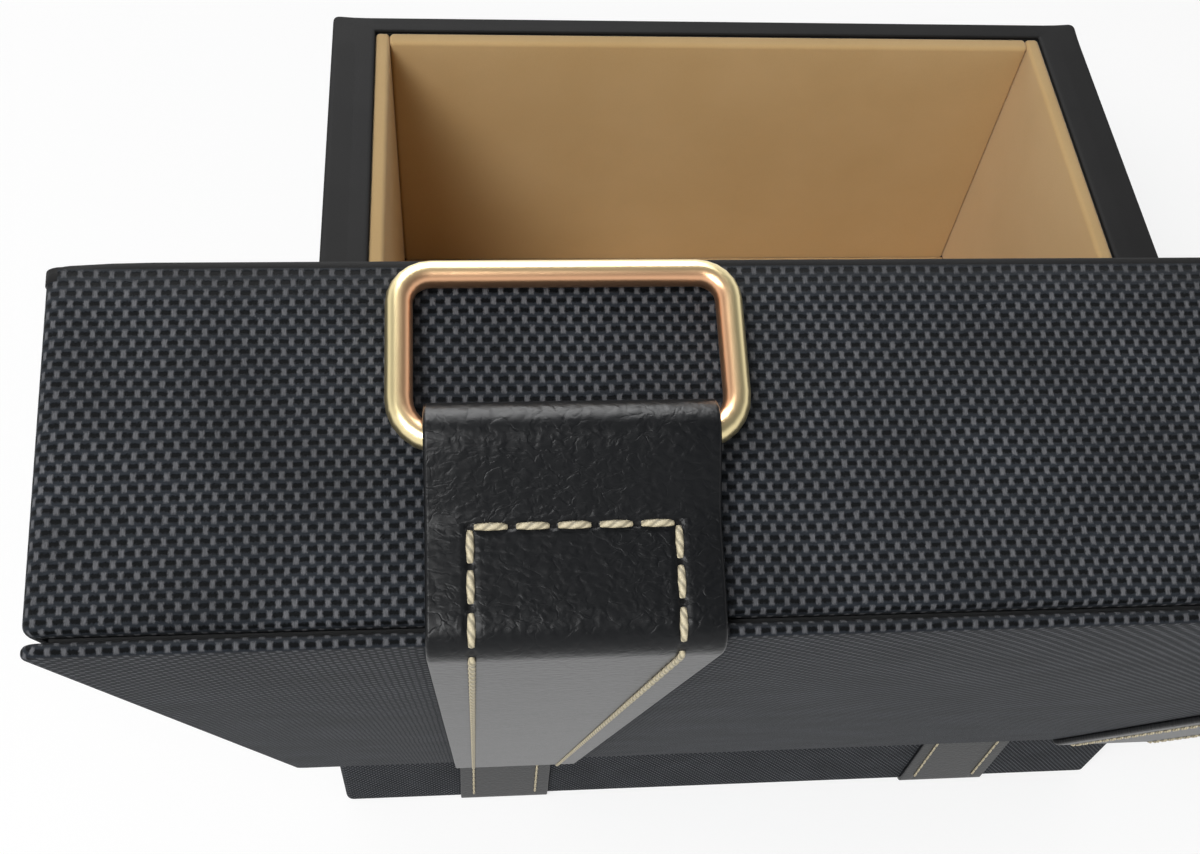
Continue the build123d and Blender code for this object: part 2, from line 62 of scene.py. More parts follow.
# Sizes of the frame, worked out from its nodes and joints
joints = {joint["name"]: joint for joint in frame["joints"]}
HINGE = np.array(joints["lid_hinge"]["pos_m"])
LEAN = math.radians(joints["lid_hinge"]["range_deg"][1])
LID_BACK = np.array([0, math.cos(LEAN), -math.sin(LEAN)])
LID_UP = np.array([0, math.sin(LEAN), math.cos(LEAN)])
LID_AXES = np.array([[1.0, 0, 0], LID_BACK, LID_UP])


def case_place(points):
    """Points of the body stay as they are."""
    return np.asarray(points, float)


def lid_place(points):
    """Lid points, across, to the back and up from the hinge line, carried into the frame."""
    return HINGE + np.asarray(points, float) @ LID_AXES


def node_box(node, in_lid=False):
    """Lowest and highest corner of a CAD node, in the frame or in the lid's own directions."""
    mesh = frame["nodes"][node].data
    points = np.empty(len(mesh.vertices) * 3)
    mesh.vertices.foreach_get("co", points)
    points = points.reshape(-1, 3)
    if in_lid:
        points = (points - HINGE) @ LID_AXES.T
    return points.min(0), points.max(0)


wall_bottom = node_box("left_wall")[0][2]
rim_low, rim_high = node_box("rim_trim")
HALF_WIDTH = rim_high[0]
HALF_DEPTH = rim_high[1]
BODY_TOP = rim_high[2]
LID_DEPTH = 2 * HALF_DEPTH
front_low, front_high = node_box("front_wall")
wall_inside = front_high[0]
lid_wall_low, lid_wall_high = node_box("lid_left_wall", True)
panel_low, panel_high = node_box("lid_panel", True)
strap_low, strap_high = node_box("back_strap_right")
STRAP_CENTRE = (strap_low[0] + strap_high[0]) / 2
STRAP_WIDTH = strap_high[0] - strap_low[0]
STRAP_THICK = strap_high[1] - HALF_DEPTH
CORNER = 2.5 * MM


# Surfaces: grids of points, each with texture corners in metres
def lattice(rows, columns, wrap_rows=False, wrap_columns=False):
    """Point numbers of the quads of a grid, and the numbers of their texture corners."""
    row_range = np.arange(rows if wrap_rows else rows - 1)
    column_range = np.arange(columns if wrap_columns else columns - 1)
    row, column = np.meshgrid(row_range, column_range, indexing="ij")
    row = row[..., None] + np.array([0, 0, 1, 1])
    column = column[..., None] + np.array([0, 1, 1, 0])
    points = (row % rows) * columns + column % columns
    texels = row * (columns + wrap_columns) + column
    return points.reshape(-1, 4), texels.reshape(-1, 4)


def surface(points, uv, wrap_rows=False, wrap_columns=False, caps=False):
    """A grid of points as one surface: its points, its faces in blocks of one size, and their
    texture corners. With caps, its first and last row are closed with one face each. A texture
    without a last column of its own comes back to its first."""
    rows, columns = points.shape[:2]
    if wrap_columns and uv.shape[1] == columns:
        uv = np.concatenate([uv, uv[:, :1]], 1)
    quads, texels = lattice(rows, columns, wrap_rows, wrap_columns)
    faces = [quads]
    corners = uv.reshape(-1, 2)[texels.ravel()]
    if caps:
        faces.append(np.arange(columns) + np.array([[0], [(rows - 1) * columns]]))
        corners = np.concatenate([corners, uv[0, :columns], uv[-1, :columns]])
    return points.reshape(-1, 3), faces, corners


def joined(surfaces):
    """Several surfaces as one."""
    points, faces, corners = [], [], []
    start = 0
    for some_points, some_faces, some_corners in surfaces:
        points.append(some_points)
        faces += [start + block for block in some_faces]
        corners.append(some_corners)
        start += len(some_points)
    return np.concatenate(points), faces, np.concatenate(corners)


def add_piece(name, shape, body, material, replaced=()):
    """Make a closed mesh of a surface, weld it, point it outwards and let it ride on its body,
    if it is given one."""
    points, faces, corners = shape
    mesh = bpy.data.meshes.new(name)
    mesh.from_pydata(points.tolist(), [], [face for block in faces for face in block.tolist()])
    mesh.uv_layers.new(name="cloth").data.foreach_set("uv", corners.ravel())
    work = bmesh.new()
    work.from_mesh(mesh)
    bmesh.ops.remove_doubles(work, verts=work.verts, dist=WELD)
    bmesh.ops.recalc_face_normals(work, faces=work.faces)
    work.to_mesh(mesh)
    work.free()
    mesh.polygons.foreach_set("use_smooth", [True] * len(mesh.polygons))
    mesh.materials.append(material)
    piece = bpy.data.objects.new(name, mesh)
    bpy.context.scene.collection.objects.link(piece)
    if body:
        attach(piece, body)
    if replaced:
        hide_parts(*replaced)
    return piece


def unit(vector):
    """The way of a vector, one long."""
    return vector / np.linalg.norm(vector)


def rounded_path(corners, radii, step, counts=None):
    """Straight runs joined by arcs tangent to them. Runs are divided by the step, or by counts."""
    corners = np.asarray(corners, float)
    radii = [0, *np.broadcast_to(radii, len(corners) - 2), 0]
    stops = []
    for i in range(len(corners)):
        if radii[i] == 0:
            stops.append(corners[i][None])
            continue
        before = unit(corners[i - 1] - corners[i])
        after = unit(corners[i + 1] - corners[i])
        half = math.acos(np.clip(before @ after, -1, 1)) / 2
        middle = unit(before + after)
        centre = corners[i] + middle * radii[i] / math.sin(half)
        turn = math.pi - 2 * half
        angles = np.linspace(-turn / 2, turn / 2, ARC_POINTS)[:, None]
        side = unit(after - before)
        stops.append(centre - radii[i] * (middle * np.cos(angles) - side * np.sin(angles)))
    path = [stops[0]]
    for i in range(1, len(stops)):
        start, end = path[-1][-1], stops[i][0]
        length = np.linalg.norm(end - start)
        parts = counts[i - 1] if counts else max(1, math.ceil(length / step))
        share = np.linspace(0, 1, parts + 1)[1:-1, None]
        path.append(start + (end - start) * share)
        path.append(stops[i])
    return np.concatenate([p for p in path if len(p)])


def along(path, closed=False):
    """The distance travelled along a path, with the way back to its start if it is closed."""
    steps = np.linalg.norm(np.diff(path, axis=0, append=path[:1]), axis=1)
    length = np.concatenate([[0], np.cumsum(steps)])
    return length if closed else length[:-1]


def sideways(path, closed=False):
    """The unit normals to the right of a flat path."""
    if closed:
        ahead = np.roll(path, -1, axis=0) - np.roll(path, 1, axis=0)
    else:
        ahead = np.gradient(path, axis=0)
    normals = np.stack([ahead[:, 1], -ahead[:, 0]], 1)
    return normals / np.linalg.norm(normals, axis=1, keepdims=True)


def mirrored(half):
    """The corners of a right half, and of the left half that mirrors it."""
    return half + [(-x, y) for x, y in reversed(half)]


def cut_outline(half, radius, step):
    """A plan given by its right half, anticlockwise from the middle of its front, with rounded
    corners, and its outward normals."""
    path = rounded_path(mirrored(half), radius, step)[:-1]
    return path, sideways(path, closed=True)


def skin(outline, normals, profile, place, closed=True):
    """A thin shell round an outline: each profile point is an offset from it and a height, and
    the profile is itself a closed loop."""
    profile = np.asarray(profile)
    flat = outline[:, None] + normals[:, None] * profile[None, :, :1]
    heights = np.broadcast_to(profile[None, :, 1:], flat.shape[:2] + (1,))
    points = place(np.concatenate([flat, heights], 2))
    travelled = along(outline, closed)
    across = along(profile, True)
    uv = np.stack(np.meshgrid(travelled, across, indexing="ij"), 2)
    return surface(points, uv, wrap_rows=closed, wrap_columns=True, caps=not closed)


SLAB_RINGS = 12


def slab(outline, normals, profile, place):
    """A board with worked edges: the profile runs from its lower to its upper face, which are
    drawn in evenly to their middle, and the texture is the plan, unfolded over the edge."""
    profile = np.asarray(profile)
    reach = along(profile[::-1])[::-1]
    flat = outline[None] + normals[None] * profile[:, None, :1]
    uv = outline[None] + normals[None] * (profile[-1, 0] + reach)[:, None, None]
    heights = np.broadcast_to(profile[:, None, 1:], flat.shape[:2] + (1,))
    middle = (outline.min(0) + outline.max(0)) / 2
    share = np.arange(SLAB_RINGS)[:, None, None] / SLAB_RINGS
    below = middle + (flat[0] - middle) * share
    above = middle + (flat[-1] - middle) * share[::-1]
    levels = [np.full(below.shape[:2] + (1,), profile[end, 1]) for end in (0, -1)]
    flat = np.concatenate([below, flat, above])
    uv = np.concatenate([below, uv, above])
    points = place(np.concatenate([flat, np.concatenate([levels[0], heights, levels[1]])], 2))
    return surface(points, uv, wrap_columns=True)


def folded(path, thickness):
    """A line given a thickness: the line, and back again beside it."""
    return np.concatenate([path, (path - sideways(path) * thickness)[::-1]])


PAD_STEP = 5 * MM
PAD_EDGE_ANGLES = [45, 34, 23, 12]


def edge_samples(low, high, radius):
    """Places along one side of a padded board, closer together over its rounded ends."""
    ends = radius * np.tan(np.radians(PAD_EDGE_ANGLES))
    inner = np.linspace(low + radius, high - radius, max(2, round((high - low) / PAD_STEP)))
    return np.concatenate([low + radius - ends, inner, high - radius + ends[::-1]])


def padded_board(low, high, radius, place=case_place, crown=(0, 0, 0)):
    """A box with gridded faces: each point is drawn in to the inner box and pushed out again by
    the edge radius, and a face's crown falls to nothing at its sides by a fourth power."""
    low, high = np.asarray(low, float), np.asarray(high, float)
    samples = [edge_samples(low[i], high[i], radius) for i in range(3)]
    middle = (low + high) / 2
    half = (high - low) / 2
    surfaces = []
    for axis in range(3):
        others = [i for i in range(3) if i != axis]
        first, second = np.meshgrid(samples[others[0]], samples[others[1]], indexing="ij")
        for side, limit in ((-1, low[axis]), (1, high[axis])):
            points = np.empty(first.shape + (3,))
            points[..., others[0]] = first
            points[..., others[1]] = second
            points[..., axis] = limit
            inner = np.clip(points, low + radius, high - radius)
            away = points - inner
            away /= np.linalg.norm(away, axis=2, keepdims=True)
            share = (points - middle) / half
            swell = (1 - share[..., others[0]] ** 4) * (1 - share[..., others[1]] ** 4)
            points = inner + away * radius
            points[..., axis] += side * crown[axis] * swell
            surfaces.append(surface(place(points), np.stack([first, second], 2)))
    return joined(surfaces)


SECTION_PARTS = 6


def section_loop(width, thickness, edge):
    """A strap's cross-section: a flat rectangle with rounded edges, once round."""
    half, rise = width / 2, thickness / 2
    corners = [(0, -rise), (half, -rise), (half, rise), (-half, rise), (-half, -rise), (0, -rise)]
    return rounded_path(corners, edge, width / SECTION_PARTS)[:-1]


def strap(path, centre, width, thickness, edge, seam=0.0):
    """A flat strap carried along a path across the box: its section's width lies along x and its
    thickness along the path's normal. Its texture is 0 down at the seam."""
    loop = section_loop(width, thickness, edge)
    normals = sideways(path)
    flat = path[:, None] + normals[:, None] * loop[None, :, 1:]
    across = np.broadcast_to(centre + loop[None, :, :1], flat.shape[:2] + (1,))
    points = np.concatenate([across, flat], 2)
    travelled = np.broadcast_to(along(path)[:, None] - seam, points.shape[:2])
    uv = np.stack([np.broadcast_to(loop[None, :, 0], points.shape[:2]), travelled], 2)
    return surface(points, uv, wrap_columns=True, caps=True)


# Finishes
def tone(colour):
    """A hex sRGB colour as linear red, green, blue and full cover."""
    values = np.array([int(colour[i : i + 2], 16) for i in (1, 3, 5)]) / 255
    linear = np.where(values <= 0.04045, values / 12.92, ((values + 0.055) / 1.055) ** 2.4)
    return (*linear, 1.0)


def add(tree, kind, inputs=None, **settings):
    """Add a node, set its properties, and set its inputs or link them to other nodes."""
    new = tree.nodes.new("ShaderNode" + kind)
    for name, value in settings.items():
        setattr(new, name, value)
    for key, value in (inputs or {}).items():
        if isinstance(value, bpy.types.Node):
            value = value.outputs[0]
        if isinstance(value, bpy.types.NodeSocket):
            tree.links.new(value, new.inputs[key])
        else:
            new.inputs[key].default_value = value
    return new


def new_finish(name, **sockets):
    """A material with one Principled shader, and the shader's own sockets set."""
    material = bpy.data.materials.new(name)
    material.use_nodes = True
    shader = material.node_tree.nodes["Principled BSDF"]
    for socket, value in sockets.items():
        shader.inputs[socket.replace("_", " ")].default_value = value
    return material, material.node_tree, shader


def dress(tree, shader, colour=None, height=None, depth=None, roughness=None):
    """Link a colour, a roughness and a height of a given depth to the shader."""
    if colour is not None:
        tree.links.new(colour, shader.inputs["Base Color"])
    if roughness is not None:
        tree.links.new(roughness, shader.inputs["Roughness"])
    if height is not None:
        bump = add(tree, "Bump", {"Height": height, "Distance": depth})
        tree.links.new(bump.outputs[0], shader.inputs["Normal"])


PEBBLE = 0.85 * MM
HOLE = 0.55 * MM
STITCH_LINE = STRAP_WIDTH / 2 - 5.1 * MM
STITCH_PITCH = 4.6 * MM
ROW_STITCHES = 5
ROW_PITCH = 2 * STITCH_LINE / ROW_STITCHES
WARP_PITCH = 0.92 * MM
WEFT_PITCH = 1.25 * MM
THREAD_THICK = 0.9 * MM
THREAD_LAY = 1.5 * MM


def woven_polyester():
    """Black polyester basket cloth, plain woven from thick fuzzy yarn and glued over board. Pale
    warp knots show in every other hole between the dark weft threads, like a checkerboard, and
    the fibres catch the light at a grazing view."""
    material, tree, shader = new_finish(
        "woven_polyester",
        Roughness=0.8,
        Specular_IOR_Level=0.12,
        Sheen_Weight=0.05,
        Sheen_Roughness=0.45,
        Sheen_Tint=tone("#B9BCC0"),
    )
    uv = add(tree, "UVMap", uv_map="cloth")
    sway = add(tree, "TexNoise", {"Vector": uv, "Scale": 110.0, "Detail": 2.0})
    sway = add(tree, "VectorMath", {0: sway.outputs[1], 1: (0.5, 0.5, 0.5)}, operation="SUBTRACT")
    sway = add(tree, "VectorMath", {0: sway, 1: (0.5 * MM, 0.5 * MM, 0)}, operation="MULTIPLY")
    place = add(tree, "VectorMath", {0: uv, 1: sway}, operation="ADD")
    count = (1 / WARP_PITCH, 1 / WEFT_PITCH, 0)
    cells = add(tree, "VectorMath", {0: place, 1: count}, operation="MULTIPLY")
    whole = add(tree, "VectorMath", {0: cells}, operation="FLOOR")
    part = add(tree, "VectorMath", {0: cells}, operation="FRACTION")
    part = add(tree, "VectorMath", {0: part, 1: (0.5, 0.5, 0)}, operation="SUBTRACT")
    number = add(tree, "SeparateXYZ", {0: whole})
    both = add(tree, "Math", {0: number.outputs[0], 1: number.outputs[1]}, operation="ADD")
    odd = add(tree, "Math", {0: both, 1: 2.0}, operation="FLOORED_MODULO")
    even = add(tree, "Math", {0: 1.0, 1: odd}, operation="SUBTRACT")
    # Fibres fray the borders of the yarns
    fray = add(tree, "TexNoise", {"Vector": cells, "Scale": 3.1, "Detail": 3.0, "Roughness": 0.7})
    fray = add(tree, "Math", {0: fray, 1: 0.5}, operation="SUBTRACT")
    fray = add(tree, "Math", {0: fray, 1: 0.5}, operation="MULTIPLY")
    across = add(tree, "SeparateXYZ", {0: part})
    side = add(tree, "Math", {0: across.outputs[0]}, operation="ABSOLUTE")
    rise = add(tree, "Math", {0: across.outputs[1]}, operation="ABSOLUTE")
    side = add(tree, "Math", {0: side, 1: fray}, operation="ADD")
    edge = add(tree, "Math", {0: rise, 1: fray}, operation="ADD")
    # A warp knot: a soft square, a little longer than its hole
    knot = even
    for distance, near, far in ((side, 0.22, 0.46), (edge, 0.24, 0.52)):
        inside = {"Value": distance, 1: near, 2: far, 3: 1.0, 4: 0.0}
        inside = add(tree, "MapRange", inside, interpolation_type="SMOOTHSTEP")
        knot = add(tree, "Math", {0: knot, 1: inside}, operation="MULTIPLY")
    # A weft thread along each border between two rows of holes, bowed towards its knots
    bow = add(tree, "Math", {0: even, 1: 0.06, 2: edge}, operation="MULTIPLY_ADD")
    thread = add(tree, "MapRange", {"Value": bow, 1: 0.12, 2: 0.32}, interpolation_type="SMOOTHSTEP")
    # Fibres run along each yarn
    lengthways = add(tree, "VectorMath", {0: cells, 1: (0.7, 7.0, 0)}, operation="MULTIPLY")
    weft_fibre = add(tree, "TexNoise", {"Vector": lengthways, "Scale": 1.6, "Detail": 3.0})
    upright = add(tree, "VectorMath", {0: cells, 1: (6.0, 0.9, 0)}, operation="MULTIPLY")
    warp_fibre = add(tree, "TexNoise", {"Vector": upright, "Scale": 1.6, "Detail": 3.0})
    patches = add(tree, "TexNoise", {"Vector": uv, "Scale": 60.0, "Detail": 3.0})
    weft = add(tree, "Mix", {0: weft_fibre, 6: tone("#0C0F12"), 7: tone("#31363D")}, data_type="RGBA")
    warp = add(tree, "Mix", {0: warp_fibre, 6: tone("#26272A"), 7: tone("#7A7B7F")}, data_type="RGBA")
    colour = add(tree, "Mix", {0: thread, 6: tone("#050709"), 7: weft.outputs[2]}, data_type="RGBA")
    colour = add(tree, "Mix", {0: knot, 6: colour.outputs[2], 7: warp.outputs[2]}, data_type="RGBA")
    worn = add(tree, "MapRange", {"Value": patches, 1: 0.3, 2: 0.7, 3: 0.8, 4: 1.2})
    colour = add(tree, "VectorMath", {0: colour.outputs[2], "Scale": worn}, operation="SCALE")
    raised = add(tree, "Math", {0: thread, 1: 0.7}, operation="MULTIPLY")
    raised = add(tree, "Math", {0: raised, 1: knot}, operation="MAXIMUM")
    fine = add(tree, "Math", {0: warp_fibre, 1: 0.25, 2: raised}, operation="MULTIPLY_ADD")
    dress(tree, shader, colour.outputs[0], fine.outputs[0], 0.18 * MM)
    return material


def smooth_leatherette():
    """Matt charcoal leatherette, rolled smooth and glued round the rims, with a very fine grain
    drawn a little coarser than it is so that it shows."""
    material, tree, shader = new_finish("smooth_leatherette", Roughness=0.68, Specular_IOR_Level=0.1)
    spot = add(tree, "TexCoord").outputs["Object"]
    grain = add(tree, "TexVoronoi", {"Vector": spot, "Scale": 1800.0})
    cloud = add(tree, "TexNoise", {"Vector": spot, "Scale": 35.0, "Detail": 4.0})
    colour = add(tree, "Mix", {0: cloud, 6: tone("#1D1D1E"), 7: tone("#272727")}, data_type="RGBA")
    dress(tree, shader, colour.outputs[2], grain.outputs[0], 0.03 * MM)
    return material


def pebbled_leather():
    """Black grained leather, drum-milled so that soft low pebbles stand between fine creases, with
    an even low gloss. Needle holes darkened by painted shade, and a furrow pressed in by the thread,
    follow the stitching lines, whose texture runs across from the strap's middle and down from the
    fold's seam."""
    material, tree, shader = new_finish("pebbled_leather", Roughness=0.38, Specular_IOR_Level=0.28)
    uv = add(tree, "UVMap", uv_map="cloth")
    stir = add(tree, "TexNoise", {"Vector": uv, "Scale": 500.0, "Detail": 2.0})
    stir = add(tree, "VectorMath", {0: stir.outputs[1], 1: (0.5, 0.5, 0.5)}, operation="SUBTRACT")
    stir = add(tree, "VectorMath", {0: stir, "Scale": 1.3 * MM}, operation="SCALE")
    place = add(tree, "VectorMath", {0: uv, 1: stir}, operation="ADD")
    place = add(tree, "VectorMath", {0: place, 1: (0.7, 1.0, 1.0)}, operation="MULTIPLY")
    pebble = {"Vector": place, "Scale": 1 / PEBBLE, "Smoothness": 0.8}
    pebble = add(tree, "TexVoronoi", pebble, feature="SMOOTH_F1")
    pebble = add(tree, "Math", {0: 1.0, 1: pebble}, operation="SUBTRACT")
    crease = add(tree, "TexNoise", {"Vector": place, "Scale": 620.0, "Detail": 2.0, "Distortion": 0.4})
    crease = add(tree, "Math", {0: crease, 1: 0.5}, operation="SUBTRACT")
    crease = add(tree, "Math", {0: crease}, operation="ABSOLUTE")
    crease = add(tree, "MapRange", {"Value": crease, 2: 0.09}, interpolation_type="SMOOTHSTEP")
    worked = add(tree, "TexNoise", {"Vector": uv, "Scale": 70.0, "Detail": 2.0})
    worked = add(tree, "MapRange", {"Value": worked, 1: 0.35, 2: 0.65, 3: 0.1, 4: 0.5})
    soft = add(tree, "Math", {0: pebble, 1: 1.6}, operation="MULTIPLY")
    grain = add(tree, "Math", {0: crease, 1: worked, 2: soft}, operation="MULTIPLY_ADD")
    # How far a point is from the two side lines and their holes, and from the fold's row
    spot = add(tree, "SeparateXYZ", {0: uv})
    across, down = spot.outputs[0], spot.outputs[1]
    out = add(tree, "Math", {0: across}, operation="ABSOLUTE")
    side = add(tree, "Math", {0: out, 1: STITCH_LINE}, operation="SUBTRACT")
    side_hole = add(tree, "Math", {0: down, 1: STITCH_PITCH / 2}, operation="PINGPONG")
    past_seam = add(tree, "Math", {0: down, 1: -HOLE}, operation="GREATER_THAN")
    row = add(tree, "Math", {0: across, 1: STITCH_LINE}, operation="ADD")
    row_hole = add(tree, "Math", {0: row, 1: ROW_PITCH / 2}, operation="PINGPONG")
    in_row = add(tree, "Math", {0: out, 1: STITCH_LINE + HOLE}, operation="LESS_THAN")
    marks = []
    for off_line, off_hole, kept in ((side, side_hole, past_seam), (down, row_hole, in_row)):
        off_line = add(tree, "Math", {0: off_line}, operation="ABSOLUTE")
        way = add(tree, "CombineXYZ", {0: off_line, 1: off_hole})
        way = add(tree, "VectorMath", {0: way}, operation="LENGTH").outputs[1]
        for distance, near, far in ((way, 0.5 * HOLE, 1.4 * HOLE), (off_line, 0.0, 2.2 * HOLE)):
            mark = {"Value": distance, 1: near, 2: far, 3: 1.0, 4: 0.0}
            mark = add(tree, "MapRange", mark, interpolation_type="SMOOTHSTEP")
            marks.append(add(tree, "Math", {0: mark, 1: kept}, operation="MULTIPLY"))
    # The holes sink in the bump, and their darker colour below is painted shade.
    hole_dip_and_shade = add(tree, "Math", {0: marks[0], 1: marks[2]}, operation="MAXIMUM")
    furrow = add(tree, "Math", {0: marks[1], 1: marks[3]}, operation="MAXIMUM")
    height = add(tree, "Math", {0: furrow, 1: -2.6, 2: grain}, operation="MULTIPLY_ADD")
    height = add(tree, "Math", {0: hole_dip_and_shade, 1: -2.0, 2: height}, operation="MULTIPLY_ADD")
    # Painted shade: the needle holes are coloured darker than the leather.
    colour = add(tree, "Mix", {0: hole_dip_and_shade, 6: tone("#090B0E"), 7: tone("#020203")}, data_type="RGBA")
    dress(tree, shader, colour.outputs[2], height.outputs[0], 0.048 * MM)
    return material


def brushed_microsuede():
    """Tan microsuede, a brushed fine pile: soft, without gloss, a little paler at a grazing view,
    and clouded where the pile lies either way."""
    material, tree, shader = new_finish(
        "brushed_microsuede",
        Roughness=0.95,
        Specular_IOR_Level=0.1,
        Sheen_Weight=0.4,
        Sheen_Roughness=0.5,
        Sheen_Tint=tone("#F0E8DC"),
    )
    spot = add(tree, "TexCoord").outputs["Object"]
    pile = add(tree, "TexNoise", {"Vector": spot, "Scale": 2600.0, "Detail": 2.0})
    lay = add(tree, "TexNoise", {"Vector": spot, "Scale": 26.0, "Detail": 4.0})
    mixed = add(tree, "Math", {0: pile, 1: 0.5, 2: lay}, operation="MULTIPLY_ADD")
    share = add(tree, "MapRange", {"Value": mixed, 1: 0.4, 2: 1.1})
    colour = add(tree, "Mix", {0: share, 6: tone("#C0A06E"), 7: tone("#CAAB7B")}, data_type="RGBA")
    dress(tree, shader, colour.outputs[2], pile.outputs[0], 0.06 * MM)
    return material


def satin_gold_plating():
    """Pale gold plating over a zinc wire, tumbled to a satin: blurred bright highlights, and a rosier
    colour on the inner side of the wire that is a painted reflection."""
    material, tree, shader = new_finish("satin_gold_plating", Metallic=1.0, Roughness=0.3)
    spot = add(tree, "TexCoord").outputs["Object"]
    turn = add(tree, "SeparateXYZ", {0: add(tree, "UVMap", uv_map="cloth")}).outputs[0]
    # Painted reflection: the inner side of the wire is coloured rosier, standing in for a warm
    # reflection.
    painted_reflection = {"Value": turn, 1: 0.3, 2: 0.85}
    painted_reflection = add(tree, "MapRange", painted_reflection, interpolation_type="SMOOTHSTEP")
    satin = add(tree, "TexNoise", {"Vector": spot, "Scale": 5200.0, "Detail": 2.0})
    # The second colour is the rosier painted reflection on the inner side of the wire.
    colour = add(tree, "Mix", {0: painted_reflection, 6: tone("#F8E6B2"), 7: tone("#F2BC92")}, data_type="RGBA")
    rough = add(tree, "MapRange", {"Value": satin, 3: 0.26, 4: 0.36})
    dress(tree, shader, colour.outputs[2], satin.outputs[0], 0.006 * MM, rough.outputs[0])
    return material


def drawn_brass():
    """Brass plated hinge steel, drawn and lightly brushed along the hinge line."""
    material, tree, shader = new_finish("drawn_brass", Metallic=1.0, Roughness=0.34)
    spot = add(tree, "TexCoord").outputs["Object"]
    lines = {0: spot, 1: (60, 4000, 4000)}
    lines = add(tree, "VectorMath", lines, operation="MULTIPLY")
    brush = add(tree, "TexNoise", {"Vector": lines, "Scale": 1.0, "Detail": 3.0})
    colour = add(tree, "Mix", {0: brush, 6: tone("#A88955"), 7: tone("#C9AC74")}, data_type="RGBA")
    dress(tree, shader, colour.outputs[2], brush.outputs[0], 0.01 * MM)
    return material


def pressed_felt():
    """Black pressed felt: matted short fibres with no gloss."""
    sockets = {"Roughness": 0.97, "Specular_IOR_Level": 0.1, "Sheen_Weight": 0.3}
    material, tree, shader = new_finish("pressed_felt", **sockets)
    spot = add(tree, "TexCoord").outputs["Object"]
    mat = add(tree, "TexNoise", {"Vector": spot, "Scale": 1500.0, "Detail": 5.0})
    colour = add(tree, "Mix", {0: mat, 6: tone("#121314"), 7: tone("#2B2C2E")}, data_type="RGBA")
    dress(tree, shader, colour.outputs[2], mat.outputs[0], 0.25 * MM)
    return material


def papered_board():
    """Fibreboard wrapped in black paper: flat and dull, with the paper's faint mottle."""
    material, tree, shader = new_finish("papered_board", Roughness=0.78)
    spot = add(tree, "TexCoord").outputs["Object"]
    pulp = add(tree, "TexNoise", {"Vector": spot, "Scale": 700.0, "Detail": 4.0})
    colour = add(tree, "Mix", {0: pulp, 6: tone("#151617"), 7: tone("#222324")}, data_type="RGBA")
    dress(tree, shader, colour.outputs[2], pulp.outputs[0], 0.05 * MM)
    return material


def waxed_thread():
    """Cream waxed polyester thread, twisted of two plies, a little glossy on their crowns, with
    painted shade darkening the colour in the grooves between the plies.
    """
    material, tree, shader = new_finish("waxed_thread", Roughness=0.55)
    uv = add(tree, "UVMap", uv_map="cloth")
    ply = add(tree, "TexNoise", {"Vector": uv, "Scale": 4000.0, "Detail": 3.0})
    colour = add(tree, "Mix", {0: ply, 6: tone("#B4A582"), 7: tone("#EDE3C6")}, data_type="RGBA")
    turns = (4 / THREAD_THICK, 2 * math.pi / THREAD_LAY, 0)
    twist = add(tree, "VectorMath", {0: uv, 1: turns}, operation="DOT_PRODUCT")
    twist = add(tree, "Math", {0: twist.outputs[1]}, operation="SINE")
    # Painted shade: the colour is darkened to half in the grooves between the plies.
    shade = add(tree, "MapRange", {"Value": twist, 1: -1.0, 2: 0.0, 3: 0.5, 4: 1.0})
    colour = add(tree, "VectorMath", {0: colour.outputs[2], "Scale": shade}, operation="SCALE")
    dress(tree, shader, colour.outputs[0], twist.outputs[0], 0.05 * MM)
    return material


WOVEN = woven_polyester()
LEATHERETTE = smooth_leatherette()
LEATHER = pebbled_leather()
SUEDE = brushed_microsuede()
GOLD = satin_gold_plating()
BRASS = drawn_brass()
FELT = pressed_felt()
BOARD = papered_board()
THREAD = waxed_thread()


def node_finish(name):
    """The finish of a CAD node: hinges are brass, rings and rivets gold, the rest board."""
    if "hinge" in name:
        return BRASS
    return GOLD if "ring" in name or "rivet" in name else BOARD


for name, node in frame["nodes"].items():
    node.data.materials.clear()
    node.data.materials.append(node_finish(name))

# Covers of the body and of the lid
CLOTH = 0.35 * MM
COVER_TURN = 0.6 * MM
TURNED_UNDER = 2 * MM
GROOVE_TURN = 1.55 * MM
GROOVE_DEPTH = 2.4 * MM
PANEL_TURN = 0.75 * MM
FRONT_EDGE = 0.12 * MM
FLAT_REACH = 2.2 * MM


def body_cover():
    """One cloth round the two sides and the back, turned under the walls, and one on the front
    above the drawer."""
    bottom = wall_bottom - CLOTH
    line = [(-TURNED_UNDER, bottom), (CLOTH, bottom), (CLOTH, rim_low[2])]
    line = rounded_path(line, COVER_TURN, WIDE_STEP)
    half = [(wall_inside, -HALF_DEPTH), (HALF_WIDTH, -HALF_DEPTH), (HALF_WIDTH, HALF_DEPTH)]
    outline = rounded_path(mirrored(half), CORNER, COVER_STEP)
    shape = skin(outline, sideways(outline), folded(line, CLOTH), case_place, closed=False)
    add_piece("case_cover", shape, "case", WOVEN)
    low = (-wall_inside, -HALF_DEPTH - CLOTH, front_low[2] - CLOTH)
    high = (wall_inside, -HALF_DEPTH, rim_low[2])
    add_piece("front_cover", padded_board(low, high, FRONT_EDGE), "case", WOVEN)


